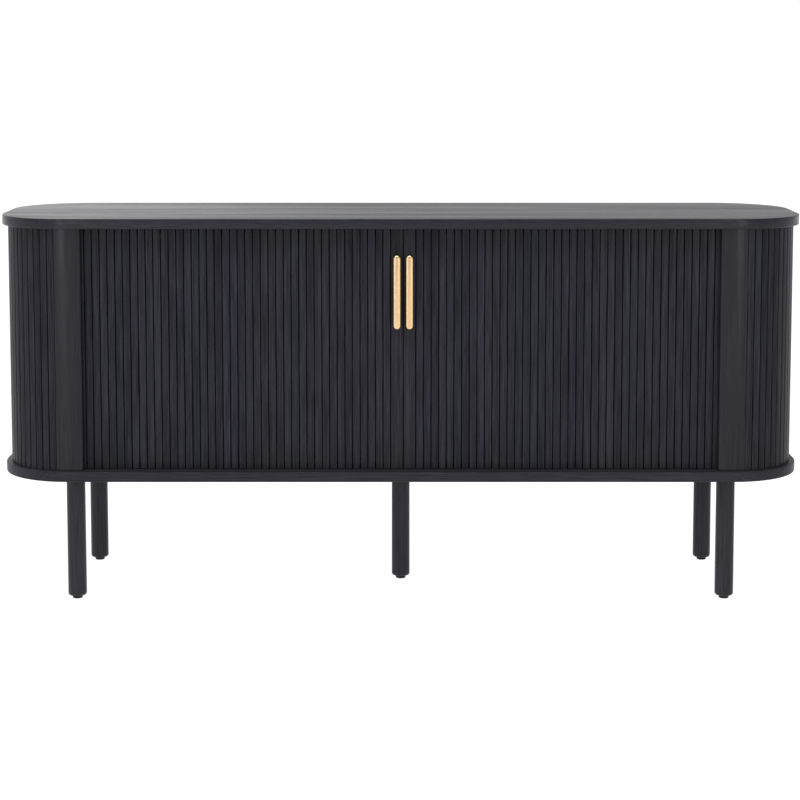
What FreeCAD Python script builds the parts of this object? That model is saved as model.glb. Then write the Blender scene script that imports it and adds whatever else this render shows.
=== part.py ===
import FreeCAD, Part

import math
import os

# Sideboard with two tambour doors between fixed slatted ends, on five turned legs.
# Millimetres, +Z up, front faces -Y. The origin is on the floor under the middle of the cabinet.

Vector = FreeCAD.Vector
UP = Vector(0, 0, 1)

# Driving dimensions
WIDTH = 1600.0
DEPTH = 400.0
HEIGHT = 765.0
PANEL_THICKNESS = 20.0
PANEL_CORNER_RADIUS = 145.0
PANEL_EDGE_ROUND = 1.5
BODY_HEIGHT = 480.0
BODY_INSET = 11.0

# Corner posts and slatted ends
POST_INNER_X = 625.5
POST_THICKNESS = 17.0
POST_WRAP_DEG = 10.0
POST_EDGE_ROUND = 4.5
SLAT_THICKNESS = 8.0
SLAT_CHAMFER = 0.8
END_SLAT_COUNT = 32
END_SLAT_WIDTH = 13.0
END_BACKING_THICKNESS = 7.0

# Tambour doors
MEETING_X = 5.0
MEETING_GAP = 1.5
STILE_WIDTH = 23.2
STILE_SLAT_GAP = 0.8
STILE_THICKNESS = 14.0
DOOR_FACE_INSET = 30.0
DOOR_SLAT_COUNT = 41
DOOR_SLAT_PITCH = 15.05
DOOR_SLAT_WIDTH = 13.2
DOOR_END_CLEARANCE = 1.5
BACKING_CLOTH_THICKNESS = 0.8
BACKING_CLOTH_MARGIN = 10.0
TONGUE_WIDTH = 12.0
TONGUE_THICKNESS = 5.0
TONGUE_HEIGHT = 7.0
TRACK_WIDTH = 6.0
TRACK_DEPTH = 8.0
TRACK_END_X = 495.0
TRACK_STOP_LENGTH = 15.0
GUIDE_PIN_RADIUS = 2.5
GUIDE_PIN_LENGTH = 18.0
GUIDE_PIN_OFFSET = 6.0

# Handles
HANDLE_WIDTH = 15.0
HANDLE_LENGTH = 147.0
HANDLE_DEPTH = 10.0
HANDLE_STANDOFF = 14.0
HANDLE_CENTRE_Z = 620.0
HANDLE_POST_SPACING = 110.0
HANDLE_POST_RADIUS = 4.0
HANDLE_EDGE_ROUND = 4.5
HANDLE_SCREW_RADIUS = 2.0
HANDLE_SCREW_BITE = 10.0
HANDLE_SCREW_HEAD_RADIUS = 4.0
HANDLE_SCREW_HEAD_HEIGHT = 3.0

# Inside the cabinet
WALL_THICKNESS = 15.0
WALL_INNER_X = 630.0
WALL_FRONT_Y = -157.0
DIVIDER_THICKNESS = 18.0
DIVIDER_FRONT_Y = -152.0
WALL_REAR_Y = 150.0
INNER_BACK_THICKNESS = 6.0
BACK_THICKNESS = 5.0
BACK_RABBET_WIDTH = 10.0
BACK_FIT_GAP = 0.3
SHELF_THICKNESS = 16.0
SHELF_FRONT_Y = -145.0
SHELF_REAR_Y = 148.0
SHELF_BOTTOM_Z = 497.0
SHELF_END_GAP = 0.5
SHELF_PIN_RADIUS = 2.5
SHELF_PIN_LENGTH = 16.0
SHELF_PIN_BITE = 8.0
SHELF_PIN_Y = (-100.0, 100.0)
SHELF_HOLE_SPACING = 32.0
SHELF_HOLE_ROWS = (-2, -1, 0, 1, 2)

# Legs and levelling feet
LEG_RADIUS = 18.5
LEG_X = 647.0
LEG_Y = 151.0
LEG_BOTTOM_Z = 6.0
LEG_EDGE_ROUND = 5.0
HANGER_BOLT_RADIUS = 4.0
HANGER_BOLT_LEG_DEPTH = 30.0
LEG_INSERT_RADIUS = 6.0
LEG_INSERT_LENGTH = 13.0
FOOT_RADIUS = 10.0
FOOT_PAD_HEIGHT = 5.0
FOOT_EDGE_ROUND = 1.2
FOOT_STEM_RADIUS = 3.0
FOOT_STEM_TOP_Z = 32.0
FOOT_BORE_TOP_Z = 40.0
FOOT_INSERT_RADIUS = 4.5
FOOT_INSERT_LENGTH = 20.0
FOOT_RUNNING_GAP = 0.05

# Fasteners
DOWEL_RADIUS = 4.0
DOWEL_LENGTH = 30.0
DOWEL_PANEL_DEPTH = 10.0
SCREW_RADIUS = 3.5
SCREW_HEAD_RADIUS = 5.0
SCREW_HEAD_HEIGHT = 4.0
SCREW_BITE = 35.0
CAM_RADIUS = 7.5
CAM_DEPTH = 12.0
CAM_DROP = 24.0
CAM_BOLT_RADIUS = 3.5
CAM_BOLT_PANEL_DEPTH = 10.0
CAM_BOLT_GAP = 1.0
BOARD_SCREW_RADIUS = 1.5
BOARD_SCREW_BITE = 10.0
BOARD_SCREW_HEAD_RADIUS = 3.5
BOARD_SCREW_HEAD_HEIGHT = 2.0
BOARD_SCREW_Z = (300.0, 435.0, 575.0, 710.0)

# Worked out from the driving dimensions
TOP_Z = HEIGHT - PANEL_THICKNESS
FLOOR_Z = TOP_Z - BODY_HEIGHT
BASE_Z = FLOOR_Z - PANEL_THICKNESS
CORNER_X = WIDTH / 2 - PANEL_CORNER_RADIUS
CORNER_Y = DEPTH / 2 - PANEL_CORNER_RADIUS
BODY_RADIUS = PANEL_CORNER_RADIUS - BODY_INSET
BODY_FACE_Y = DEPTH / 2 - BODY_INSET
POST_INNER_RADIUS = BODY_RADIUS - POST_THICKNESS
END_BACKING_RADIUS = BODY_RADIUS - SLAT_THICKNESS
DOOR_FACE_Y = -(DEPTH / 2 - DOOR_FACE_INSET)
TRACK_Y = DOOR_FACE_Y + SLAT_THICKNESS / 2
TRACK_RADIUS = -TRACK_Y - CORNER_Y
STILE_BACK_Y = DOOR_FACE_Y + STILE_THICKNESS
DOOR_BOTTOM_Z = FLOOR_Z + DOOR_END_CLEARANCE
DOOR_TOP_Z = TOP_Z - DOOR_END_CLEARANCE
WALL_MIDDLE_X = WALL_INNER_X + WALL_THICKNESS / 2
POST_MIDDLE_Y = BODY_FACE_Y - POST_THICKNESS / 2
SHELF_PIN_Z = SHELF_BOTTOM_Z - SHELF_PIN_RADIUS
HANDLE_POST_Z = tuple(HANDLE_CENTRE_Z + s * HANDLE_POST_SPACING / 2 for s in (-1, 1))
LEG_PLACES = {
    "front_left": (-LEG_X, -LEG_Y),
    "front_right": (LEG_X, -LEG_Y),
    "rear_left": (-LEG_X, LEG_Y),
    "rear_right": (LEG_X, LEG_Y),
    "centre": (0.0, 0.0),
}
SIDES = {"left": -1, "right": 1}

# Where the upright boards meet the top and base panels, as (x, y)
POST_DOWELS = [(sx * 655.0, sy * POST_MIDDLE_Y) for sx in (-1, 1) for sy in (-1, 1)]
POST_SCREWS = [(sx * 638.0, sy * POST_MIDDLE_Y) for sx in (-1, 1) for sy in (-1, 1)]
BOARD_DOWELS = [(x, y) for x in (-WALL_MIDDLE_X, 0.0, WALL_MIDDLE_X) for y in (-130.0, 25.0, 125.0)]
BOARD_FIXINGS = [(x, y) for x in (-WALL_MIDDLE_X, 0.0, WALL_MIDDLE_X) for y in (-70.0, 70.0)]


def box(x, y, z):
    """A box from three (low, high) pairs, in either order."""
    (x0, x1), (y0, y1), (z0, z1) = sorted(x), sorted(y), sorted(z)
    return Part.makeBox(x1 - x0, y1 - y0, z1 - z0, Vector(x0, y0, z0))


def upright(radius, x, y, z0, z1):
    """A cylinder that stands from z0 to z1."""
    return Part.makeCylinder(radius, z1 - z0, Vector(x, y, z0), UP)


def along_x(radius, x0, x1, y, z):
    return Part.makeCylinder(radius, abs(x1 - x0), Vector(min(x0, x1), y, z), Vector(1, 0, 0))


def along_y(radius, x, y0, y1, z):
    return Part.makeCylinder(radius, abs(y1 - y0), Vector(x, min(y0, y1), z), Vector(0, 1, 0))


def prism(edges, z0, z1):
    """A closed outline in plan, drawn at z = 0, pulled up from z0 to z1."""
    solid = Part.Face(Part.Wire(edges)).extrude(Vector(0, 0, z1 - z0))
    solid.translate(Vector(0, 0, z0))
    return solid


def rounded_slab(half_x, half_y, radius, z0, z1):
    slab = box((-half_x, half_x), (-half_y, half_y), (z0, z1))
    corners = [e for e in slab.Edges if abs(e.tangentAt(e.FirstParameter).z) > 0.99]
    return slab.makeFillet(radius, corners)


def flipped(shape, side_x, side_y=-1):
    """The front right piece, or its mirror image in the corner that the two signs name."""
    if side_x < 0:
        shape = shape.mirror(Vector(0, 0, 0), Vector(1, 0, 0))
    if side_y > 0:
        shape = shape.mirror(Vector(0, 0, 0), Vector(0, 1, 0))
    return shape


def corner_point(radius, degrees, side_y=-1):
    """A point round the right-hand corner: 0 degrees faces the front or back, 90 the end."""
    turn = math.radians(degrees)
    return Vector(CORNER_X + radius * math.sin(turn), side_y * (CORNER_Y + radius * math.cos(turn)), 0)


def corner_arc(radius, start, end, side_y=-1):
    points = [corner_point(radius, d, side_y) for d in (start, (start + end) / 2, end)]
    return Part.Arc(*points).toShape()


def line(a, b):
    return Part.makeLine(a, b)


def save(name, shape):
    shape.exportStep(f"parts/{name}.step")


# Panels


def track_ring(z0, z1):
    """The groove that the curtains run in: along the front, round both ends, and part of the back."""
    half = TRACK_WIDTH / 2
    outer = rounded_slab(CORNER_X + TRACK_RADIUS + half, -TRACK_Y + half, TRACK_RADIUS + half, z0, z1)
    inner = rounded_slab(CORNER_X + TRACK_RADIUS - half, -TRACK_Y - half, TRACK_RADIUS - half, z0, z1)
    rear_middle = box((-TRACK_END_X, TRACK_END_X), (0, DEPTH / 2), (z0, z1))
    return outer.cut([inner, rear_middle])


def blank_panel(z0):
    slab = rounded_slab(WIDTH / 2, DEPTH / 2, PANEL_CORNER_RADIUS, z0, z0 + PANEL_THICKNESS)
    rims = [e for e in slab.Edges if e.BoundBox.ZLength < 0.01]
    return slab.makeFillet(PANEL_EDGE_ROUND, rims)


def top_panel():
    holes = all_dowels() + all_cam_bolts()
    return blank_panel(TOP_Z).cut([track_ring(TOP_Z, TOP_Z + TRACK_DEPTH)] + holes)


def base_panel():
    insert_top = BASE_Z + LEG_INSERT_LENGTH
    inserts = [upright(LEG_INSERT_RADIUS, x, y, BASE_Z, insert_top) for x, y in LEG_PLACES.values()]
    holes = all_dowels() + all_screws() + inserts
    return blank_panel(BASE_Z).cut([track_ring(FLOOR_Z - TRACK_DEPTH, FLOOR_Z)] + holes)


# Fasteners of the carcass


def carcass_screw(x, y):
    head = upright(SCREW_HEAD_RADIUS, x, y, BASE_Z, BASE_Z + SCREW_HEAD_HEIGHT)
    return head.fuse(upright(SCREW_RADIUS, x, y, BASE_Z + SCREW_HEAD_HEIGHT, FLOOR_Z + SCREW_BITE))


def all_screws():
    return [carcass_screw(x, y) for x, y in POST_SCREWS + BOARD_FIXINGS]


def all_dowels():
    places = POST_DOWELS + BOARD_DOWELS
    lower = FLOOR_Z - DOWEL_PANEL_DEPTH
    upper = TOP_Z + DOWEL_PANEL_DEPTH - DOWEL_LENGTH
    return [upright(DOWEL_RADIUS, x, y, z, z + DOWEL_LENGTH) for z in (lower, upper) for x, y in places]


def cam_lock(x, y):
    """A cam let into the outward face of a board, or the right face of the divider."""
    outer = WALL_INNER_X + WALL_THICKNESS if x else DIVIDER_THICKNESS / 2
    side = -1 if x < 0 else 1
    return along_x(CAM_RADIUS, side * outer, side * (outer - CAM_DEPTH), y, TOP_Z - CAM_DROP)


def cam_bolt(x, y):
    bottom = TOP_Z - CAM_DROP + CAM_RADIUS + CAM_BOLT_GAP
    return upright(CAM_BOLT_RADIUS, x, y, bottom, TOP_Z + CAM_BOLT_PANEL_DEPTH)


def all_cam_locks():
    return [cam_lock(x, y) for x, y in BOARD_FIXINGS]


def all_cam_bolts():
    return [cam_bolt(x, y) for x, y in BOARD_FIXINGS]


def board_screw(x, z, board_rear_y):
    """A pan-head screw driven from behind through a thin board."""
    head = along_y(BOARD_SCREW_HEAD_RADIUS, x, board_rear_y, board_rear_y + BOARD_SCREW_HEAD_HEIGHT, z)
    return head.fuse(along_y(BOARD_SCREW_RADIUS, x, board_rear_y - BOARD_SCREW_BITE, board_rear_y, z))


def back_panel_screws():
    x = POST_INNER_X + BACK_RABBET_WIDTH / 2
    return [board_screw(side * x, z, BODY_FACE_Y) for side in (-1, 1) for z in BOARD_SCREW_Z]


def inner_back_screws():
    rear = WALL_REAR_Y + INNER_BACK_THICKNESS
    return [board_screw(x, z, rear) for x in (-WALL_MIDDLE_X, 0.0, WALL_MIDDLE_X) for z in BOARD_SCREW_Z]


# Posts and slatted ends


def post(side_x, side_y):
    """A plain corner post: flat beside the doors, and bent round the start of the corner."""
    front = Vector(POST_INNER_X, -BODY_FACE_Y, 0)
    back = Vector(POST_INNER_X, -(BODY_FACE_Y - POST_THICKNESS), 0)
    edges = [
        line(front, corner_point(BODY_RADIUS, 0)),
        corner_arc(BODY_RADIUS, 0, POST_WRAP_DEG),
        line(corner_point(BODY_RADIUS, POST_WRAP_DEG), corner_point(POST_INNER_RADIUS, POST_WRAP_DEG)),
        corner_arc(POST_INNER_RADIUS, POST_WRAP_DEG, 0),
        line(corner_point(POST_INNER_RADIUS, 0), back),
        line(back, front),
    ]
    solid = prism(edges, FLOOR_Z, TOP_Z)
    edge_middle = front + UP * (FLOOR_Z + TOP_Z) / 2
    eased = [e for e in solid.Edges if e.CenterOfMass.distanceToPoint(edge_middle) < 0.01]
    solid = flipped(solid.makeFillet(POST_EDGE_ROUND, eased), side_x, side_y)
    if side_y > 0:
        rabbet = (POST_INNER_X * side_x, (POST_INNER_X + BACK_RABBET_WIDTH) * side_x)
        solid = solid.cut(box(rabbet, (BODY_FACE_Y - BACK_THICKNESS, BODY_FACE_Y), (FLOOR_Z, TOP_Z)))
    return solid.cut(all_dowels() + all_screws() + back_panel_screws())


def end_backing(side_x):
    """The bent board behind the end slats, from the front post round to the rear post."""
    outer, inner = END_BACKING_RADIUS, END_BACKING_RADIUS - END_BACKING_THICKNESS
    edges = [
        corner_arc(outer, POST_WRAP_DEG, 90, -1),
        line(corner_point(outer, 90, -1), corner_point(outer, 90, 1)),
        corner_arc(outer, 90, POST_WRAP_DEG, 1),
        line(corner_point(outer, POST_WRAP_DEG, 1), corner_point(inner, POST_WRAP_DEG, 1)),
        corner_arc(inner, POST_WRAP_DEG, 90, 1),
        line(corner_point(inner, 90, 1), corner_point(inner, 90, -1)),
        corner_arc(inner, 90, POST_WRAP_DEG, -1),
        line(corner_point(inner, POST_WRAP_DEG, -1), corner_point(outer, POST_WRAP_DEG, -1)),
    ]
    return flipped(prism(edges, FLOOR_Z, TOP_Z), side_x)


def slat(width, z0, z1):
    """A slat with its middle on x = 0, its back on y = 0 and its chamfered face towards -Y."""
    half, face = width / 2, -SLAT_THICKNESS
    outline = [
        (-half, 0), (half, 0), (half, face + SLAT_CHAMFER), (half - SLAT_CHAMFER, face),
        (-half + SLAT_CHAMFER, face), (-half, face + SLAT_CHAMFER), (-half, 0),
    ]
    return prism(Part.makePolygon([Vector(x, y, 0) for x, y in outline]).Edges, z0, z1)


def end_slats(side_x):
    """Flat slats side by side round the end, each square to the bent board behind it."""
    arc_length = BODY_RADIUS * math.radians(90 - POST_WRAP_DEG)
    straight = 2 * CORNER_Y
    pitch = (2 * arc_length + straight) / END_SLAT_COUNT
    slats = []
    for number in range(END_SLAT_COUNT):
        travel = (number + 0.5) * pitch
        beyond = travel - arc_length - straight
        if travel < arc_length:
            degrees = POST_WRAP_DEG + math.degrees(travel / BODY_RADIUS)
            place = corner_point(END_BACKING_RADIUS, degrees)
        elif beyond < 0:
            degrees = 90
            place = Vector(CORNER_X + END_BACKING_RADIUS, travel - arc_length - CORNER_Y, 0)
        else:
            degrees = 90 + math.degrees(beyond / BODY_RADIUS)
            place = corner_point(END_BACKING_RADIUS, 180 - degrees, 1)
        piece = slat(END_SLAT_WIDTH, FLOOR_Z, TOP_Z)
        piece.rotate(Vector(0, 0, 0), UP, degrees)
        piece.translate(place)
        slats.append(flipped(piece, side_x))
    return Part.makeCompound(slats)


# Boards inside


def shelf_pin_holes(face_x, direction):
    """Rows of blind holes in the face at face_x; direction points into the board."""
    depth = face_x + direction * SHELF_PIN_BITE
    heights = [SHELF_PIN_Z + row * SHELF_HOLE_SPACING for row in SHELF_HOLE_ROWS]
    return [along_x(SHELF_PIN_RADIUS, face_x, depth, y, z) for y in SHELF_PIN_Y for z in heights]


def carcass_holes():
    return all_dowels() + all_screws() + all_cam_locks() + all_cam_bolts() + inner_back_screws()


def inner_wall(side_x):
    x = (side_x * WALL_INNER_X, side_x * (WALL_INNER_X + WALL_THICKNESS))
    board = box(x, (WALL_FRONT_Y, WALL_REAR_Y), (FLOOR_Z, TOP_Z))
    return board.cut(carcass_holes() + shelf_pin_holes(side_x * WALL_INNER_X, side_x))


def centre_divider():
    half = DIVIDER_THICKNESS / 2
    board = box((-half, half), (DIVIDER_FRONT_Y, WALL_REAR_Y), (FLOOR_Z, TOP_Z))
    return board.cut(carcass_holes() + shelf_pin_holes(-half, 1) + shelf_pin_holes(half, -1))


def inner_back():
    half = WALL_INNER_X + WALL_THICKNESS
    y = (WALL_REAR_Y, WALL_REAR_Y + INNER_BACK_THICKNESS)
    return box((-half, half), y, (FLOOR_Z, TOP_Z)).cut(inner_back_screws())


def back_panel():
    half = POST_INNER_X + BACK_RABBET_WIDTH - BACK_FIT_GAP
    y = (BODY_FACE_Y - BACK_THICKNESS, BODY_FACE_Y)
    z = (FLOOR_Z + BACK_FIT_GAP, TOP_Z - BACK_FIT_GAP)
    return box((-half, half), y, z).cut(back_panel_screws())


def shelf(side_x):
    x = (side_x * (DIVIDER_THICKNESS / 2 + SHELF_END_GAP), side_x * (WALL_INNER_X - SHELF_END_GAP))
    return box(x, (SHELF_FRONT_Y, SHELF_REAR_Y), (SHELF_BOTTOM_Z, SHELF_BOTTOM_Z + SHELF_THICKNESS))


def shelf_pins():
    faces = [(side * DIVIDER_THICKNESS / 2, -side) for side in (-1, 1)]
    faces += [(side * WALL_INNER_X, side) for side in (-1, 1)]
    out = SHELF_PIN_LENGTH - SHELF_PIN_BITE
    return Part.makeCompound([
        along_x(SHELF_PIN_RADIUS, face + into * SHELF_PIN_BITE, face - into * out, y, SHELF_PIN_Z)
        for face, into in faces
        for y in SHELF_PIN_Y
    ])


# Legs and feet


def leg(x, y):
    shaft = upright(LEG_RADIUS, x, y, LEG_BOTTOM_Z, BASE_Z)
    bottom_rim = [e for e in shaft.Edges if e.BoundBox.ZMax < LEG_BOTTOM_Z + 1]
    shaft = shaft.makeFillet(LEG_EDGE_ROUND, bottom_rim)
    return shaft.cut([
        upright(HANGER_BOLT_RADIUS, x, y, BASE_Z - HANGER_BOLT_LEG_DEPTH, BASE_Z),
        upright(FOOT_INSERT_RADIUS, x, y, LEG_BOTTOM_Z, LEG_BOTTOM_Z + FOOT_INSERT_LENGTH),
        upright(FOOT_STEM_RADIUS + FOOT_RUNNING_GAP, x, y, LEG_BOTTOM_Z, FOOT_BORE_TOP_Z),
    ])


def hanger_bolt(x, y):
    return upright(HANGER_BOLT_RADIUS, x, y, BASE_Z - HANGER_BOLT_LEG_DEPTH, BASE_Z + LEG_INSERT_LENGTH)


def sleeve(outer, inner, x, y, z, length):
    return upright(outer, x, y, z, z + length).cut(upright(inner, x, y, z, z + length))


def leg_insert(x, y):
    return sleeve(LEG_INSERT_RADIUS, HANGER_BOLT_RADIUS, x, y, BASE_Z, LEG_INSERT_LENGTH)


def foot_insert(x, y):
    bore = FOOT_STEM_RADIUS + FOOT_RUNNING_GAP
    return sleeve(FOOT_INSERT_RADIUS, bore, x, y, LEG_BOTTOM_Z, FOOT_INSERT_LENGTH)


def foot(x, y):
    """A levelling foot: a round pad on a threaded stem, shown plain."""
    pad = upright(FOOT_RADIUS, x, y, 0, FOOT_PAD_HEIGHT)
    rims = [e for e in pad.Edges if e.BoundBox.ZLength < 0.01]
    return pad.makeFillet(FOOT_EDGE_ROUND, rims).fuse(upright(FOOT_STEM_RADIUS, x, y, 1, FOOT_STEM_TOP_Z))


# Doors


def stile_inner_x(side_x):
    return MEETING_X + side_x * MEETING_GAP / 2


def stile_middle_x(side_x):
    return stile_inner_x(side_x) + side_x * STILE_WIDTH / 2


def curtain_start_x(side_x):
    return stile_inner_x(side_x) + side_x * (STILE_WIDTH + STILE_SLAT_GAP)


def handle_screw(x, z):
    """Driven from behind, with its head let into the back of the stile."""
    tip = DOOR_FACE_Y - HANDLE_SCREW_BITE
    seat = STILE_BACK_Y - HANDLE_SCREW_HEAD_HEIGHT
    shank = along_y(HANDLE_SCREW_RADIUS, x, tip, seat, z)
    return shank.fuse(along_y(HANDLE_SCREW_HEAD_RADIUS, x, seat, STILE_BACK_Y, z))


def handle_screws(side_x):
    return Part.makeCompound([handle_screw(stile_middle_x(side_x), z) for z in HANDLE_POST_Z])


def guide_pins(side_x):
    middle = stile_middle_x(side_x)
    top, bottom = DOOR_TOP_Z + TONGUE_HEIGHT, DOOR_BOTTOM_Z - TONGUE_HEIGHT
    spans = [(top - GUIDE_PIN_LENGTH, top), (bottom, bottom + GUIDE_PIN_LENGTH)]
    return Part.makeCompound([
        upright(GUIDE_PIN_RADIUS, middle + offset, TRACK_Y, z0, z1)
        for offset in (-GUIDE_PIN_OFFSET, GUIDE_PIN_OFFSET)
        for z0, z1 in spans
    ])


def lead_stile(side_x):
    inner = stile_inner_x(side_x)
    x = (inner, inner + side_x * STILE_WIDTH)
    board = box(x, (DOOR_FACE_Y, STILE_BACK_Y), (DOOR_BOTTOM_Z, DOOR_TOP_Z))
    face_edges = [
        e for e in board.Edges
        if e.BoundBox.ZLength > 1 and abs(e.CenterOfMass.y - DOOR_FACE_Y) < 0.01
    ]
    board = board.makeChamfer(SLAT_CHAMFER, face_edges)
    return board.cut([handle_screws(side_x), guide_pins(side_x)])


def handle(side_x):
    """A pill-shaped bar held off the door by two round posts."""
    middle = stile_middle_x(side_x)
    half, reach = HANDLE_WIDTH / 2, (HANDLE_LENGTH - HANDLE_WIDTH) / 2
    back = DOOR_FACE_Y - HANDLE_STANDOFF
    front = back - HANDLE_DEPTH
    ends = [HANDLE_CENTRE_Z - reach, HANDLE_CENTRE_Z + reach]
    bar = box((middle - half, middle + half), (front, back), ends)
    bar = bar.fuse([along_y(half, middle, front, back, z) for z in ends]).removeSplitter()
    bar = bar.makeFillet(HANDLE_EDGE_ROUND, [e for e in bar.Edges if e.BoundBox.YMax < front + 0.01])
    posts = [along_y(HANDLE_POST_RADIUS, middle, back - 1, DOOR_FACE_Y, z) for z in HANDLE_POST_Z]
    return bar.fuse(posts).cut(handle_screws(side_x))


def curtain_slats(side_x):
    """Slats side by side behind the stile, each with a tongue at both ends that runs in the track."""
    half = TONGUE_WIDTH / 2
    tongue_y = (-SLAT_THICKNESS / 2 - TONGUE_THICKNESS / 2, -SLAT_THICKNESS / 2 + TONGUE_THICKNESS / 2)
    tongues = [
        box((-half, half), tongue_y, (DOOR_TOP_Z, DOOR_TOP_Z + TONGUE_HEIGHT)),
        box((-half, half), tongue_y, (DOOR_BOTTOM_Z - TONGUE_HEIGHT, DOOR_BOTTOM_Z)),
    ]
    pattern = slat(DOOR_SLAT_WIDTH, DOOR_BOTTOM_Z, DOOR_TOP_Z).fuse(tongues)
    start = curtain_start_x(side_x)
    slats = []
    for number in range(DOOR_SLAT_COUNT):
        piece = pattern.copy()
        middle = start + side_x * (number + 0.5) * DOOR_SLAT_PITCH
        piece.translate(Vector(middle, DOOR_FACE_Y + SLAT_THICKNESS, 0))
        slats.append(piece)
    return Part.makeCompound(slats)


def curtain_backing(side_x):
    """The cloth that the slats are glued to."""
    start = curtain_start_x(side_x)
    x = (start, start + side_x * DOOR_SLAT_COUNT * DOOR_SLAT_PITCH)
    y = (DOOR_FACE_Y + SLAT_THICKNESS, DOOR_FACE_Y + SLAT_THICKNESS + BACKING_CLOTH_THICKNESS)
    z = (DOOR_BOTTOM_Z + BACKING_CLOTH_MARGIN, DOOR_TOP_Z - BACKING_CLOTH_MARGIN)
    return box(x, y, z)


def track_stops():
    """Blocks that close the rear ends of the tracks."""
    half = TRACK_WIDTH / 2
    y = (-TRACK_Y - half, -TRACK_Y + half)
    levels = [(TOP_Z, TOP_Z + TRACK_DEPTH), (FLOOR_Z - TRACK_DEPTH, FLOOR_Z)]
    far_x = TRACK_END_X + TRACK_STOP_LENGTH
    return Part.makeCompound([
        box((side * TRACK_END_X, side * far_x), y, z) for side in (-1, 1) for z in levels
    ])


def build():
    os.makedirs("parts", exist_ok=True)
    save("top_panel", top_panel())
    save("base_panel", base_panel())
    save("back_panel", back_panel())
    save("inner_back", inner_back())
    save("centre_divider", centre_divider())
    save("shelf_pins", shelf_pins())
    save("carcass_dowels", Part.makeCompound(all_dowels()))
    save("carcass_screws", Part.makeCompound(all_screws()))
    save("cam_locks", Part.makeCompound(all_cam_locks()))
    save("cam_bolts", Part.makeCompound(all_cam_bolts()))
    save("back_panel_screws", Part.makeCompound(back_panel_screws()))
    save("inner_back_screws", Part.makeCompound(inner_back_screws()))
    save("track_stops", track_stops())
    for side, side_x in SIDES.items():
        save(f"front_{side}_post", post(side_x, -1))
        save(f"rear_{side}_post", post(side_x, 1))
        save(f"{side}_end_backing", end_backing(side_x))
        save(f"{side}_end_slats", end_slats(side_x))
        save(f"{side}_inner_wall", inner_wall(side_x))
        save(f"{side}_shelf", shelf(side_x))
        save(f"{side}_lead_stile", lead_stile(side_x))
        save(f"{side}_handle", handle(side_x))
        save(f"{side}_handle_screws", handle_screws(side_x))
        save(f"{side}_guide_pins", guide_pins(side_x))
        save(f"{side}_curtain_slats", curtain_slats(side_x))
        save(f"{side}_curtain_backing", curtain_backing(side_x))
    for place, (x, y) in LEG_PLACES.items():
        save(f"{place}_leg", leg(x, y))
        save(f"{place}_foot", foot(x, y))
    fittings = {"leg_hanger_bolts": hanger_bolt, "leg_inserts": leg_insert, "foot_inserts": foot_insert}
    for name, make in fittings.items():
        save(name, Part.makeCompound([make(x, y) for x, y in LEG_PLACES.values()]))


build()
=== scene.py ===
import math

import bmesh
import bpy
from mathutils import Matrix, Vector


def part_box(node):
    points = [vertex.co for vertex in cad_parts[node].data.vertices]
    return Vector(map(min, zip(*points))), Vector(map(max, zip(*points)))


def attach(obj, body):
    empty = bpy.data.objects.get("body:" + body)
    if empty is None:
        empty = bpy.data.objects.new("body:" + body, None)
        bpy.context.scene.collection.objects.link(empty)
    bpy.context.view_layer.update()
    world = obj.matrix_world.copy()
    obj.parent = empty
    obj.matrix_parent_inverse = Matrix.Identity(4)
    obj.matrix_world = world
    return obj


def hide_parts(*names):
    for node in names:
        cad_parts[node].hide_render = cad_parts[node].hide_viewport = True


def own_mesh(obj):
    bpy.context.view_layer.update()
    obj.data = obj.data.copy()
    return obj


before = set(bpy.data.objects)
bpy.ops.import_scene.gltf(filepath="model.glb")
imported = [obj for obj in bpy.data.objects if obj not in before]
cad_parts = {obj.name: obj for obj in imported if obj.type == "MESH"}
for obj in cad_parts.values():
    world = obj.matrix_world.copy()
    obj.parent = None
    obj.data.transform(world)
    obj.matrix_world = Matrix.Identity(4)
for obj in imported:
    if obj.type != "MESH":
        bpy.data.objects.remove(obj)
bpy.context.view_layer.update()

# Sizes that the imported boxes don't give, in metres
CORNER_RADIUS = 0.145
PANEL_EDGE_ROUND = 0.0018
BODY_INSET = 0.011
POST_THICKNESS = 0.017
POST_WRAP = math.radians(10)
POST_EDGE_ROUND = 0.0045
SLAT_THICKNESS = 0.008
SLAT_EDGE_ROUND = 0.0010
END_SLAT_COUNT = 32
END_SLAT_WIDTH = 0.0130
DOOR_SLAT_COUNT = 41
DOOR_SLAT_GAP = 0.00185
TONGUE_WIDTH = 0.012
TONGUE_THICKNESS = 0.005
TRACK_OFFSET = 0.031
TRACK_WIDTH = 0.006
TRACK_DEPTH = 0.008
TRACK_END_X = 0.495
BACK_FIT_GAP = 0.0003
STILE_EDGE_ROUND = 0.0013
HANDLE_POST_RADIUS = 0.004
HANDLE_BAR_DEPTH = 0.010
HANDLE_EDGE_ROUND = 0.0045
HANDLE_BACK_ROUND = 0.001
HANDLE_POST_SPACING = 0.110
LEG_BOTTOM_ROUND = 0.005

# A collar at the foot of a handle's post, as pairs of (width beyond the post, distance from the door)
HANDLE_COLLAR = ((0.0012, 0), (0.0012, 0.0008), (0.0004, 0.0018), (0, 0.0026))

# Modelling allowances: where flat faces are capped, how far the track's walls and ends lean, and overlaps
PANEL_CAP_OUTER = 0.040
PANEL_CAP_INNER = 0.045
LEG_CAP_SHARE = 0.5
TRACK_WALL_LEAN = 0.00001
TRACK_END_LEAN = 0.0001
TONGUE_OVERLAP = 0.001
HANDLE_POST_BITE = 0.002

SIDES = {"left": -1, "right": 1}
LEGS = ("front_left", "front_right", "rear_left", "rear_right", "centre")

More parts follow.
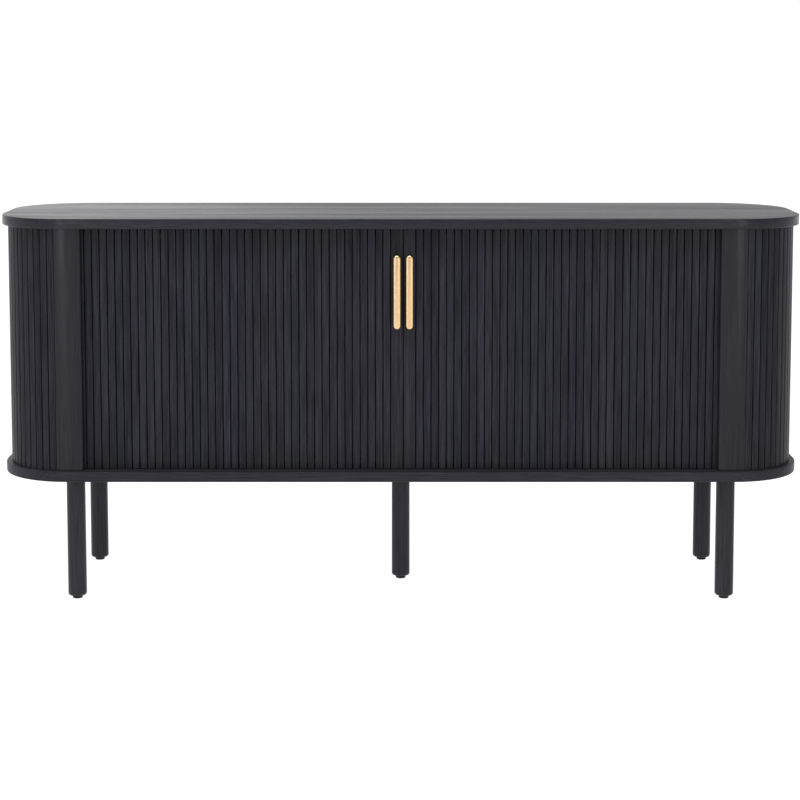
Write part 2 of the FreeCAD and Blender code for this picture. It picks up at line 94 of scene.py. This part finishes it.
TOP_LOW, TOP_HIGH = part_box("top_panel")
BASE_LOW, BASE_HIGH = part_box("base_panel")
FLOOR_Z, TOP_Z = BASE_HIGH.z, TOP_LOW.z
CORNER_X = TOP_HIGH.x - CORNER_RADIUS
CORNER_Y = TOP_HIGH.y - CORNER_RADIUS
BODY_RADIUS = CORNER_RADIUS - BODY_INSET
BODY_FACE_Y = TOP_HIGH.y - BODY_INSET


# Camera: the height, distance and lens that give the perspective of an eye-level view from the front

CAMERA_PLACE = Vector((-0.0014, -4.10, 1.110))
CAMERA_LENS = 90.7
CAMERA_TILT = math.radians(5.65)
CAMERA_SHIFT_Y = -0.2


def make_camera():
    data = bpy.data.cameras.new("camera")
    data.lens = CAMERA_LENS
    data.sensor_width = 36
    data.shift_y = CAMERA_SHIFT_Y
    camera = bpy.data.objects.new("camera", data)
    bpy.context.scene.collection.objects.link(camera)
    camera.location = CAMERA_PLACE
    camera.rotation_euler = (math.pi / 2 - CAMERA_TILT, 0, 0)
    bpy.context.scene.camera = camera


# Materials


# How far from an arris, and how strongly, the wood is lightened: worn finish and painted edge highlight
# together
EDGE_WEAR_AND_HIGHLIGHT_REACH = 0.0012
EDGE_WEAR_AND_HIGHLIGHT_GAIN = 6.0
GRAIN_SPREAD = 7.0
SHADE_SPREAD = 13.0
PORE_BLACK = (0.002, 0.002, 0.003, 1)
# The grey of worn finish and of a painted highlight along the arrises
WORN_AND_HIGHLIGHT_GREY = (0.050, 0.048, 0.053, 1)


class Nodes:
    """A material's node tree, with a short way to add a node, set its inputs and link others to them."""

    def __init__(self, name):
        self.material = bpy.data.materials.new(name)
        self.material.use_nodes = True
        self.tree = self.material.node_tree
        self.shader = self.tree.nodes["Principled BSDF"]

    def add(self, kind, settings=None, **inputs):
        node = self.tree.nodes.new(kind)
        for key, value in (settings or {}).items():
            setattr(node, key, value)
        for key, value in inputs.items():
            self.put(node, key, value)
        return node

    def put(self, node, key, value):
        socket = node.inputs[int(key[1:])] if key[0] == "i" and key[1:].isdigit() else node.inputs[key]
        if isinstance(value, bpy.types.NodeSocket):
            self.tree.links.new(value, socket)
        else:
            socket.default_value = value

    def shade(self, **inputs):
        for key, value in inputs.items():
            self.put(self.shader, key.replace("_", " "), value)

    def fixed(self, **values):
        """Plain numbers that are the same all over, set on the shader's own sockets."""
        for key, value in values.items():
            self.shader.inputs[key.replace("_", " ")].default_value = value

    def ramp(self, factor, stops):
        node = self.add("ShaderNodeValToRGB", Fac=factor)
        points = node.color_ramp.elements
        while len(points) < len(stops):
            points.new(0.5)
        for point, (place, colour) in zip(points, stops):
            point.position = place
            point.color = (*colour, 1)
        return node.outputs["Color"]

    def math(self, operation, first, second=0.0, clamp=False):
        node = self.add("ShaderNodeMath", {"operation": operation, "use_clamp": clamp}, i0=first, i1=second)
        return node.outputs[0]

    def mix(self, factor, first, second):
        settings = {"data_type": "RGBA"}
        return self.add("ShaderNodeMix", settings, i0=factor, i6=first, i7=second).outputs[2]

    def edges(self, radius):
        """1 on arrises sharper than the radius, 0 on flat faces."""
        eased = self.add("ShaderNodeBevel", {"samples": 4}, Radius=radius).outputs[0]
        normal = self.add("ShaderNodeNewGeometry").outputs["Normal"]
        alike = self.add("ShaderNodeVectorMath", {"operation": "DOT_PRODUCT"}, i0=eased, i1=normal)
        unlike = self.math("SUBTRACT", 1.0, alike.outputs["Value"])
        return self.math("MULTIPLY", unlike, EDGE_WEAR_AND_HIGHLIGHT_GAIN, clamp=True)

    def noise(self, place, scale, detail=4.0, roughness=0.55):
        node = self.add("ShaderNodeTexNoise", Vector=place, Scale=scale, Detail=detail, Roughness=roughness)
        return node.outputs["Fac"]

    def grain_space(self, axis, stretch, pieces=False):
        """Object coordinates squeezed along the grain, so that a texture there is drawn out along it."""
        place = self.add("ShaderNodeTexCoord").outputs["Object"]
        if pieces:
            island = self.add("ShaderNodeNewGeometry").outputs["Random Per Island"]
            spread = self.math("MULTIPLY", island, GRAIN_SPREAD)
            offset = self.add("ShaderNodeCombineXYZ", X=spread, Z=island).outputs[0]
            place = self.add("ShaderNodeVectorMath", {"operation": "ADD"}, i0=place, i1=offset).outputs[0]
        scale = [1.0, 1.0, 1.0]
        scale["XYZ".index(axis)] = stretch
        return self.add("ShaderNodeMapping", Vector=place, Scale=scale).outputs[0]


def black_wood(name, axis, pieces=False, stretch=0.020, roughness=0.40, uneven=0.16, gloss=1.0,
               depth=0.0098, contrast=0.5, hue=(1.0, 1.6)):
    """Open-grained wood, stained blue-black, under a thin satin lacquer. The grain runs along the axis.

    With pieces set, each slat in the mesh takes its own stretch of grain and its own shade of the stain.
    Depth is the stain's middle brightness, contrast how far the grain departs from it, and the hue its red
    and blue as shares of its green. Uneven is how much the roughness varies along the grain.
    """
    n = Nodes(name)
    space = n.grain_space(axis, stretch, pieces)
    broad = n.noise(space, 24.0, 4.0, 0.6)
    fibre = n.noise(space, 420.0, 4.0, 0.6)
    streaks = n.noise(space, 620.0, 3.0, 0.6)
    pores = n.ramp(n.noise(space, 900.0, 2.0, 0.5), [(0.34, (0, 0, 0)), (0.44, (1, 1, 1))])
    figure = n.math("ADD", n.math("MULTIPLY", broad, 0.20), n.math("MULTIPLY", fibre, 0.50))
    figure = n.math("ADD", figure, n.math("MULTIPLY", streaks, 0.30))
    stain_stops = []
    for place, step in ((0.40, -1), (0.50, 0), (0.61, 1)):
        shade = depth * math.exp(0.8 * contrast * step)
        stain_stops.append((place, (shade * hue[0], shade, shade * hue[1])))
    stain = n.ramp(figure, stain_stops)
    if pieces:
        island = n.add("ShaderNodeNewGeometry").outputs["Random Per Island"]
        batch = n.ramp(n.math("FRACT", n.math("MULTIPLY", island, SHADE_SPREAD)), [
            (0.0, (0.87, 0.93, 1.03)),
            (0.3, (0.97, 1.00, 0.98)),
            (0.6, (1.00, 0.97, 1.05)),
            (1.0, (1.05, 1.05, 1.04)),
        ])
        multiply = {"data_type": "RGBA", "blend_type": "MULTIPLY"}
        stain = n.add("ShaderNodeMix", multiply, i0=1.0, i6=stain, i7=batch).outputs[2]
    pitted = n.mix(n.ramp(pores, [(0, (0.5, 0.5, 0.5)), (1, (0, 0, 0))]), stain, PORE_BLACK)
    # Worn finish and painted edge highlight: the arrises are lightened towards grey, more where the fibre
    # runs pale
    arrises = n.edges(EDGE_WEAR_AND_HIGHLIGHT_REACH)
    wear_and_highlight = n.math("MULTIPLY", arrises, n.ramp(fibre, [(0.40, (0, 0, 0)), (0.62, (0.5, 0.5, 0.5))]))
    colour = n.mix(wear_and_highlight, pitted, WORN_AND_HIGHLIGHT_GREY)
    rubbed = n.math("SUBTRACT", fibre, broad)
    satin = n.math("ADD", n.math("MULTIPLY", rubbed, uneven), roughness)
    height = n.math("ADD", n.math("MULTIPLY", fibre, 0.5), n.math("MULTIPLY", pores, 0.5))
    bump = n.add("ShaderNodeBump", Height=height, Strength=0.24, Distance=0.00025).outputs[0]
    lacquer = n.ramp(figure, [(0.38, [0.08 * gloss] * 3), (0.62, [0.26 * gloss] * 3)])
    n.shade(Base_Color=colour, Roughness=satin, Normal=bump, Coat_Weight=lacquer)
    n.fixed(Specular_IOR_Level=0.16 * gloss, Coat_Roughness=0.18)
    return n.material


def black_board(name, axis):
    """The plainer, matt black veneer of the inside and the back."""
    n = Nodes(name)
    space = n.grain_space(axis, 0.05)
    streaks = n.noise(space, 60.0, 5.0, 0.6)
    speckle = n.noise(n.add("ShaderNodeTexCoord").outputs["Object"], 900.0, 2.0)
    colour = n.ramp(streaks, [(0.3, (0.008, 0.008, 0.0105)), (0.7, (0.019, 0.019, 0.023))])
    bump = n.add("ShaderNodeBump", Height=speckle, Strength=0.15, Distance=0.0002)
    satin = n.math("ADD", n.math("MULTIPLY", streaks, 0.15), 0.50)
    n.shade(Base_Color=colour, Roughness=satin, Normal=bump.outputs[0])
    return n.material


def brushed_metal(name, colour, roughness, axis="Z", brushing=0.02):
    """Metal with fine drawn-out scratches along the axis."""
    n = Nodes(name)
    scratches = n.noise(n.grain_space(axis, brushing), 1400.0, 4.0, 0.7)
    clouds = n.noise(n.add("ShaderNodeTexCoord").outputs["Object"], 45.0, 3.0)
    darker = [c * 0.86 for c in colour]
    tone = n.ramp(n.math("ADD", n.math("MULTIPLY", scratches, 0.6), n.math("MULTIPLY", clouds, 0.4)),
                  [(0.35, darker), (0.65, colour)])
    bump = n.add("ShaderNodeBump", Height=scratches, Strength=0.12, Distance=0.00008)
    n.shade(Base_Color=tone, Metallic=1.0, Normal=bump.outputs[0],
            Roughness=n.math("ADD", n.math("MULTIPLY", scratches, 0.14), roughness))
    return n.material


def raw_wood(name):
    """Pale beech, for the dowels."""
    n = Nodes(name)
    rays = n.noise(n.grain_space("Z", 0.08), 700.0, 4.0)
    colour = n.ramp(rays, [(0.35, (0.42, 0.27, 0.14)), (0.65, (0.60, 0.43, 0.26))])
    n.shade(Base_Color=colour, Roughness=n.math("ADD", n.math("MULTIPLY", rays, 0.2), 0.5))
    return n.material


def moulded_plastic(name, colour):
    """Black nylon with a fine moulded skin."""
    n = Nodes(name)
    place = n.add("ShaderNodeTexCoord").outputs["Object"]
    skin = n.noise(place, 2600.0, 3.0)
    mottle = n.noise(place, 130.0, 3.0)
    tone = n.ramp(mottle, [(0.3, [c * 0.8 for c in colour]), (0.7, colour)])
    bump = n.add("ShaderNodeBump", Height=skin, Strength=0.2, Distance=0.0001)
    dull = n.math("ADD", n.math("MULTIPLY", skin, 0.15), 0.45)
    n.shade(Base_Color=tone, Roughness=dull, Normal=bump.outputs[0])
    n.fixed(Specular_IOR_Level=0.25)
    return n.material


def woven_cloth(name, colour):
    """A tight plain weave of about 1.2 mm threads."""
    n = Nodes(name)
    place = n.add("ShaderNodeTexCoord").outputs["Object"]

    def threads(direction):
        settings = {"bands_direction": direction}
        wave = n.add("ShaderNodeTexWave", settings, Vector=place, Scale=260.0, Distortion=0.6, Detail=1.0)
        return wave.outputs["Fac"]

    weave = n.math("MAXIMUM", threads("X"), threads("Z"))
    fuzz = n.noise(place, 900.0, 3.0)
    tone = n.ramp(n.math("ADD", n.math("MULTIPLY", weave, 0.7), n.math("MULTIPLY", fuzz, 0.3)),
                  [(0.2, [c * 0.5 for c in colour]), (0.9, colour)])
    bump = n.add("ShaderNodeBump", Height=weave, Strength=0.5, Distance=0.0003)
    dull = n.math("ADD", n.math("MULTIPLY", fuzz, 0.1), 0.8)
    n.shade(Base_Color=tone, Roughness=dull, Normal=bump.outputs[0])
    n.fixed(Sheen_Weight=0.3)
    return n.material


# Mesh helpers


def piece(name, bm, material, body, replaces=(), sharp=30):
    """Turns a bmesh into a shown piece that rides on a body."""
    bmesh.ops.recalc_face_normals(bm, faces=bm.faces)
    mesh = bpy.data.meshes.new(name)
    bm.to_mesh(mesh)
    bm.free()
    mesh.shade_smooth()
    mesh.set_sharp_from_angle(angle=math.radians(sharp))
    mesh.materials.append(material)
    thing = bpy.data.objects.new(name, mesh)
    bpy.context.scene.collection.objects.link(thing)
    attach(thing, body)
    if replaces:
        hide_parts(*replaces)
    return thing


def loft(bm, rings, closed=False):
    """Faces between rings with the same number of points; the end rings are capped unless closed."""
    rows = [[bm.verts.new(p) for p in ring] for ring in rings]
    pairs = list(zip(rows, rows[1:]))
    if closed:
        pairs.append((rows[-1], rows[0]))
    for low, high in pairs:
        for i in range(len(low)):
            j = (i + 1) % len(low)
            bm.faces.new((low[i], low[j], high[j], high[i]))
    if not closed:
        bm.faces.new(rows[0])
        bm.faces.new(rows[-1])


def rounded_corner(corner, before, after, radius, steps=4):
    """Points that round an outline's corner, which lies between two neighbours."""
    a = (before - corner).normalized()
    b = (after - corner).normalized()
    half = a.angle(b) / 2
    reach = radius / math.tan(half)
    centre = corner + (a + b).normalized() * (radius / math.sin(half))
    start, end = corner + a * reach - centre, corner + b * reach - centre
    turn = start.angle_signed(end)
    return [centre + Matrix.Rotation(-turn * k / steps, 2) @ start for k in range(steps + 1)]


def rounded_outline(points, radii, steps=4):
    """A plan outline whose corners have the given radii; a radius of 0 leaves a corner sharp."""
    outline = []
    for k, (point, radius) in enumerate(zip(points, radii)):
        if radius:
            outline += rounded_corner(point, points[k - 1], points[(k + 1) % len(points)], radius, steps)
        else:
            outline.append(point)
    return outline


def upright_prism(bm, outline, z0, z1, ease=0.0):
    """A plan outline pulled up from z0 to z1, its ends drawn in a little where ease is given."""
    middle = sum(outline, Vector((0, 0))) / len(outline)

    def ring(z, inset):
        return [Vector((*(p + (middle - p).normalized() * inset), z)) for p in outline]

    if ease:
        rings = [ring(z0, ease), ring(z0 + ease, 0), ring(z1 - ease, 0), ring(z1, ease)]
    else:
        rings = [ring(z0, 0), ring(z1, 0)]
    loft(bm, rings)


def lathe(bm, profile, centre, axis=Vector((0, 0, 1)), steps=64):
    """A round solid from (radius, distance along the axis) pairs. The first and last rings are capped."""
    turn = Vector((0, 0, 1)).rotation_difference(axis).to_matrix()
    rings = []
    for radius, along in profile:
        flat = [Vector((radius * math.cos(a), radius * math.sin(a), along)) for a in
                (2 * math.pi * k / steps for k in range(steps))]
        rings.append([centre + turn @ p for p in flat])
    loft(bm, rings)


def quarter(radius, steps):
    """(sideways, along) pairs of a quarter round, from flat to upright."""
    turns = [math.pi / 2 * k / steps for k in range(steps + 1)]
    return [(radius * math.sin(t), radius * (1 - math.cos(t))) for t in turns]


def box_solid(bm, low, high):
    corners = [(low.x, low.y), (high.x, low.y), (high.x, high.y), (low.x, high.y)]
    loft(bm, [[Vector((x, y, z)) for x, y in corners] for z in (low.z, high.z)])


# Panels


def panel_path(inset, steps=40):
    """Points round the panel's outline, drawn in by an inset, the same number for every inset."""
    radius = CORNER_RADIUS - inset
    side_y = TOP_HIGH.y - inset
    past_end = TRACK_END_X + TRACK_END_LEAN
    track_ends = (past_end, TRACK_END_X, -TRACK_END_X, -past_end)
    path = []
    for number, (sx, sy) in enumerate(((1, 1), (-1, 1), (-1, -1), (1, -1))):
        cx, cy = sx * CORNER_X, sy * CORNER_Y
        for k in range(steps + 1):
            a = math.pi / 2 * (number + k / steps)
            path.append(Vector((cx + radius * math.cos(a), cy + radius * math.sin(a))))
        if number == 0:
            path += [Vector((x, side_y)) for x in track_ends]
    return path


def grooved_panel(name, outer_z, inner_z, material):
    """A rounded board with the curtain track in the face that looks into the cabinet."""
    up = 1 if outer_z > inner_z else -1
    r = PANEL_EDGE_ROUND
    path = panel_path(0)

    def ring(inset, z):
        return [Vector((*p, z)) for p in panel_path(inset)]

    def track_floor(inset):
        floor = []
        for outer, p in zip(path, panel_path(inset)):
            uncut = outer.y > CORNER_Y and abs(outer.x) <= TRACK_END_X
            floor.append(Vector((*p, inner_z + (0 if uncut else up * TRACK_DEPTH))))
        return floor

    edge = quarter(r, 5)
    track_back = TRACK_OFFSET + TRACK_WIDTH
    rings = [ring(PANEL_CAP_OUTER, outer_z), ring(r, outer_z)]
    rings += [ring(r - sideways, outer_z - up * along) for sideways, along in edge[1:]]
    rings += [ring(r - sideways, inner_z + up * along) for sideways, along in reversed(edge)]
    rings += [ring(TRACK_OFFSET, inner_z), track_floor(TRACK_OFFSET + TRACK_WALL_LEAN)]
    rings += [track_floor(track_back - TRACK_WALL_LEAN), ring(track_back, inner_z)]
    rings += [ring(PANEL_CAP_INNER, inner_z)]
    bm = bmesh.new()
    loft(bm, rings)
    return piece(f"{name}_board", bm, material, "cabinet", [name])


# Posts, slatted ends and curtains


def corner_point(radius, turn, side_x, side_y):
    """A point round a corner of the body: a turn of 0 faces the front or back."""
    x = CORNER_X + radius * math.sin(turn)
    y = CORNER_Y + radius * math.cos(turn)
    return Vector((side_x * x, side_y * y))


def corner_post(name, side_x, side_y, material):
    """A plain post, flat beside the doors and bent round the start of the corner."""
    low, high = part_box(name)
    inner_x = side_x * min(abs(low.x), abs(high.x))
    inner_radius = BODY_RADIUS - POST_THICKNESS
    steps = 10
    turns = [POST_WRAP * k / steps for k in range(steps + 1)]
    outside = [corner_point(BODY_RADIUS, t, side_x, side_y) for t in turns]
    inside = [corner_point(inner_radius, t, side_x, side_y) for t in reversed(turns)]
    front = Vector((inner_x, side_y * BODY_FACE_Y))
    back = Vector((inner_x, side_y * (BODY_FACE_Y - POST_THICKNESS)))
    if side_y > 0:
        panel_low, panel_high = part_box("back_panel")
        rabbet_x = side_x * (panel_high.x + BACK_FIT_GAP)
        rabbet = [(inner_x, panel_low.y), (rabbet_x, panel_low.y), (rabbet_x, BODY_FACE_Y)]
        corners = outside + inside + [back] + [Vector(point) for point in rabbet]
        radii = [0] * len(corners)
    else:
        corners = [front] + outside + inside + [back]
        radii = [POST_EDGE_ROUND] + [0] * (len(corners) - 2) + [POST_EDGE_ROUND]
    bm = bmesh.new()
    upright_prism(bm, rounded_outline(corners, radii), low.z, high.z)
    return piece(f"{name}_moulding", bm, material, "cabinet", [name], sharp=20)


def board_outline(x0, x1, face_y, back_y, face_round):
    """An upright board's section, with the two edges of its front face rounded."""
    corners = [Vector(point) for point in ((x0, back_y), (x0, face_y), (x1, face_y), (x1, back_y))]
    return rounded_outline(corners, [0, face_round, face_round, 0])


def slat_outline(width):
    """A slat's section: its back on y = 0, and its rounded face towards -Y."""
    return board_outline(-width / 2, width / 2, -SLAT_THICKNESS, 0, SLAT_EDGE_ROUND)


def end_slats(side, side_x, material):
    """The fixed slats round the end, each square to the bent board behind it."""
    arc = BODY_RADIUS * (math.pi / 2 - POST_WRAP)
    straight = 2 * CORNER_Y
    pitch = (2 * arc + straight) / END_SLAT_COUNT
    board_radius = BODY_RADIUS - SLAT_THICKNESS
    outline = slat_outline(END_SLAT_WIDTH)
    bm = bmesh.new()
    for number in range(END_SLAT_COUNT):
        travel = (number + 0.5) * pitch
        if travel < arc:
            turn = POST_WRAP + travel / BODY_RADIUS
            place = corner_point(board_radius, turn, 1, -1)
        elif travel < arc + straight:
            turn = math.pi / 2
            place = Vector((CORNER_X + board_radius, travel - arc - CORNER_Y))
        else:
            turn = math.pi / 2 + (travel - arc - straight) / BODY_RADIUS
            place = corner_point(board_radius, math.pi - turn, 1, 1)
        placed = [place + Matrix.Rotation(turn, 2) @ p for p in outline]
        upright_prism(bm, [Vector((p.x * side_x, p.y)) for p in placed], FLOOR_Z, TOP_Z)
    return piece(f"{side}_end_slat_set", bm, material, "cabinet", [f"{side}_end_slats"])


def curtain(side, wood, cloth):
    """The slats and backing cloth of one door."""
    body, joint = f"{side}_door", f"{side}_door_slide"
    low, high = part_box(f"{side}_curtain_slats")
    stile_low, stile_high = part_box(f"{side}_lead_stile")
    pitch = (high.x - low.x + DOOR_SLAT_GAP) / DOOR_SLAT_COUNT
    outline = slat_outline(pitch - DOOR_SLAT_GAP)
    tongue = Vector((TONGUE_WIDTH / 2, TONGUE_THICKNESS / 2))
    tongue_heights = (
        (low.z, stile_low.z + TONGUE_OVERLAP),
        (stile_high.z - TONGUE_OVERLAP, high.z),
    )
    bm = bmesh.new()
    for number in range(DOOR_SLAT_COUNT):
        middle = low.x + (number + 0.5) * pitch - DOOR_SLAT_GAP / 2
        shift = Vector((middle, high.y))
        upright_prism(bm, [p + shift for p in outline], stile_low.z, stile_high.z)
        core = Vector((middle, high.y - SLAT_THICKNESS / 2))
        for z0, z1 in tongue_heights:
            box_solid(bm, Vector((*(core - tongue), z0)), Vector((*(core + tongue), z1)))
    slats = piece(f"{side}_curtain", bm, wood, body, [f"{side}_curtain_slats"])

    cloth_low, cloth_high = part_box(f"{side}_curtain_backing")
    bm = bmesh.new()
    box_solid(bm, cloth_low, cloth_high)
    backing = piece(f"{side}_backing_cloth", bm, cloth, body, [f"{side}_curtain_backing"])
    for thing in (slats, backing):
        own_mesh(thing)


def lead_stile(side, material):
    name = f"{side}_lead_stile"
    low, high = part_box(name)
    bm = bmesh.new()
    upright_prism(bm, board_outline(low.x, high.x, low.y, high.y, STILE_EDGE_ROUND), low.z, high.z)
    return piece(f"{name}_board", bm, material, f"{side}_door", [name])


# Handles


def pill(centre, half_width, reach, inset, steps=32):
    """Points of a pill-shaped outline in the X and Z plane."""
    radius = half_width - inset
    points = []
    for end in (1, -1):
        for k in range(steps + 1):
            a = math.pi * k / steps + (0 if end > 0 else math.pi)
            z = centre.z + end * reach + radius * math.sin(a)
            points.append(Vector((centre.x + radius * math.cos(a), centre.y, z)))
    return points


def handle(side, material):
    """A pill-shaped bar with softened edges, on two round posts with small collars."""
    name = f"{side}_handle"
    low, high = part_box(name)
    half = (high.x - low.x) / 2
    middle = (low + high) / 2
    reach = (high.z - low.z) / 2 - half
    back_y = low.y + HANDLE_BAR_DEPTH

    def ring(inset, y):
        return pill(Vector((middle.x, y, middle.z)), half, reach, inset)

    front = quarter(HANDLE_EDGE_ROUND, 8)
    back = quarter(HANDLE_BACK_ROUND, 4)
    rings = [ring(HANDLE_EDGE_ROUND - sideways, low.y + along) for sideways, along in front]
    rings += [ring(HANDLE_BACK_ROUND - sideways, back_y - along) for sideways, along in reversed(back)]
    bm = bmesh.new()
    loft(bm, rings)
    r = HANDLE_POST_RADIUS
    post_end = high.y - back_y + HANDLE_POST_BITE
    profile = [(r + extra, along) for extra, along in HANDLE_COLLAR] + [(r, post_end)]
    for end in (-1, 1):
        foot = Vector((middle.x, high.y, middle.z + end * HANDLE_POST_SPACING / 2))
        lathe(bm, profile, foot, Vector((0, -1, 0)), 40)
    return piece(f"{name}_bar", bm, material, f"{side}_door", [name], sharp=40)


# Legs and feet


def leg(place, material):
    name = f"{place}_leg"
    low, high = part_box(name)
    radius = (high.x - low.x) / 2
    r = LEG_BOTTOM_ROUND
    bottom = [(radius - r + sideways, along) for sideways, along in quarter(r, 8)]
    shaft = [(radius, (high.z - low.z) * k / 4) for k in (1, 2, 3, 4)]
    profile = [(radius * LEG_CAP_SHARE, 0)] + bottom + shaft
    bm = bmesh.new()
    lathe(bm, profile, Vector(((low.x + high.x) / 2, (low.y + high.y) / 2, low.z)), steps=96)
    return piece(f"{name}_turning", bm, material, "cabinet", [name])


# Stage


FLOOR_HALF = 60.0
FLOOR_GLOW = 0.95
FRONT_LIGHT = 0.60
FRONT_FADE = (-0.6, 0.5)
LEFT_LIGHT = 1.06
RIGHT_LIGHT = 0.69
ACROSS_FADE = (-0.16, -0.03)
STRIP_X, STRIP_AIM_X = 2.10, 0.65


def make_floor():
    """A plain white floor that fades into the white surround."""
    n = Nodes("pale_floor")
    n.shade(Base_Color=(0.25, 0.25, 0.25, 1), Emission_Color=(1, 1, 1, 1))
    n.fixed(Roughness=0.9, Emission_Strength=FLOOR_GLOW, Specular_IOR_Level=0.0)
    bm = bmesh.new()
    bmesh.ops.create_grid(bm, x_segments=1, y_segments=1, size=FLOOR_HALF)
    mesh = bpy.data.meshes.new("floor")
    bm.to_mesh(mesh)
    bm.free()
    mesh.materials.append(n.material)
    floor = bpy.data.objects.new("floor", mesh)
    bpy.context.scene.collection.objects.link(floor)


def make_surround():
    """White all round to look at. Its light is dimmer from the front, and dimmer behind the right half."""
    world = bpy.data.worlds.new("surround")
    world.use_nodes = True
    tree = world.node_tree
    background = tree.nodes["Background"]
    direction = tree.nodes.new("ShaderNodeSeparateXYZ")
    tree.links.new(tree.nodes.new("ShaderNodeTexCoord").outputs["Generated"], direction.inputs[0])

    def fade(axis, start, end, first, last):
        node = tree.nodes.new("ShaderNodeMapRange")
        for socket, value in (("From Min", start), ("From Max", end), ("To Min", first), ("To Max", last)):
            node.inputs[socket].default_value = value
        tree.links.new(direction.outputs[axis], node.inputs["Value"])
        return node.outputs[0]

    def combine(operation, first, second):
        node = tree.nodes.new("ShaderNodeMath")
        node.operation = operation
        tree.links.new(first, node.inputs[0])
        tree.links.new(second, node.inputs[1])
        return node.outputs[0]

    depth = fade("Y", *FRONT_FADE, FRONT_LIGHT, 1.0)
    across = fade("X", *ACROSS_FADE, LEFT_LIGHT, RIGHT_LIGHT)
    camera_ray = tree.nodes.new("ShaderNodeLightPath").outputs["Is Camera Ray"]
    strength = combine("MAXIMUM", combine("MULTIPLY", depth, across), camera_ray)
    tree.links.new(strength, background.inputs["Strength"])
    background.inputs["Color"].default_value = (1, 1, 1, 1)
    bpy.context.scene.world = world


def make_lamp(name, place, aim, size, brightness):
    """A soft box of the given width and height. Its brightness is in the units of a white surface."""
    data = bpy.data.lights.new(name, "AREA")
    data.shape = "RECTANGLE"
    data.size, data.size_y = size
    data.energy = brightness * math.pi * size[0] * size[1]
    lamp = bpy.data.objects.new(name, data)
    bpy.context.scene.collection.objects.link(lamp)
    lamp.location = place
    lamp.rotation_euler = (Vector(aim) - Vector(place)).to_track_quat("-Z", "Y").to_euler()


def make_stage():
    make_floor()
    make_surround()
    make_lamp("softbox_above", place=(-0.4, -1.3, 3.2), aim=(0, -0.1, 0.3), size=(3.2, 1.6), brightness=4.2)
    for side, side_x in SIDES.items():
        place = (side_x * STRIP_X, -5.0, 1.3)
        aim = (side_x * STRIP_AIM_X, 0, 0.5)
        make_lamp(f"strip_{side}", place, aim, size=(0.90, 2.6), brightness=3.6)
    bpy.context.scene.view_settings.view_transform = "Standard"


def paint(node, material):
    """Gives a CAD node that stays in view its finish."""
    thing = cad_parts[node]
    thing.data.materials.clear()
    thing.data.materials.append(material)


make_camera()
make_stage()

wood_top = black_wood("black_wood_top", "X", stretch=0.05, roughness=0.36, uneven=0.40, depth=0.0112)
wood_base = black_wood("black_wood_base", "X", gloss=0.4, depth=0.0235, contrast=0.4, hue=(1.0, 1.3))
wood_posts = black_wood("black_wood_posts", "Z", depth=0.0082, contrast=0.3)
door_finish = {"gloss": 0.3, "contrast": 0.6, "hue": (1.0, 1.3)}
wood_slats = black_wood("black_wood_slats", "Z", pieces=True, depth=0.0190, **door_finish)
wood_stiles = black_wood("black_wood_stiles", "Z", depth=0.0185, **door_finish)
wood_legs = black_wood("black_wood_legs", "Z", gloss=0.6, depth=0.0215, contrast=0.3, hue=(1.1, 1.3))
board_x = black_board("black_board_along_x", "X")
board_z = black_board("black_board_upright", "Z")
brass = brushed_metal("brushed_brass", (0.77, 0.535, 0.30), 0.15)
steel = brushed_metal("zinc_steel", (0.60, 0.60, 0.58), 0.32, brushing=0.2)
beech = raw_wood("raw_dowel")
nylon = moulded_plastic("black_nylon", (0.006, 0.006, 0.007))
cloth = woven_cloth("curtain_cloth", (0.012, 0.012, 0.014))

grooved_panel("top_panel", TOP_HIGH.z, TOP_LOW.z, wood_top)
grooved_panel("base_panel", BASE_LOW.z, BASE_HIGH.z, wood_base)
for side, side_x in SIDES.items():
    corner_post(f"front_{side}_post", side_x, -1, wood_posts)
    corner_post(f"rear_{side}_post", side_x, 1, wood_posts)
    end_slats(side, side_x, wood_slats)
    curtain(side, wood_slats, cloth)
    lead_stile(side, wood_stiles)
    handle(side, brass)
    paint(f"{side}_end_backing", board_z)
    paint(f"{side}_inner_wall", board_z)
    paint(f"{side}_shelf", board_x)
    paint(f"{side}_handle_screws", steel)
    paint(f"{side}_guide_pins", nylon)
for place in LEGS:
    leg(place, wood_legs)
    paint(f"{place}_foot", nylon)
for node in ("back_panel", "inner_back"):
    paint(node, board_x)
paint("centre_divider", board_z)
for node in (
    "shelf_pins", "carcass_screws", "cam_locks", "cam_bolts", "back_panel_screws",
    "inner_back_screws", "leg_hanger_bolts", "leg_inserts", "foot_inserts",
):
    paint(node, steel)
paint("carcass_dowels", beech)
paint("track_stops", nylon)
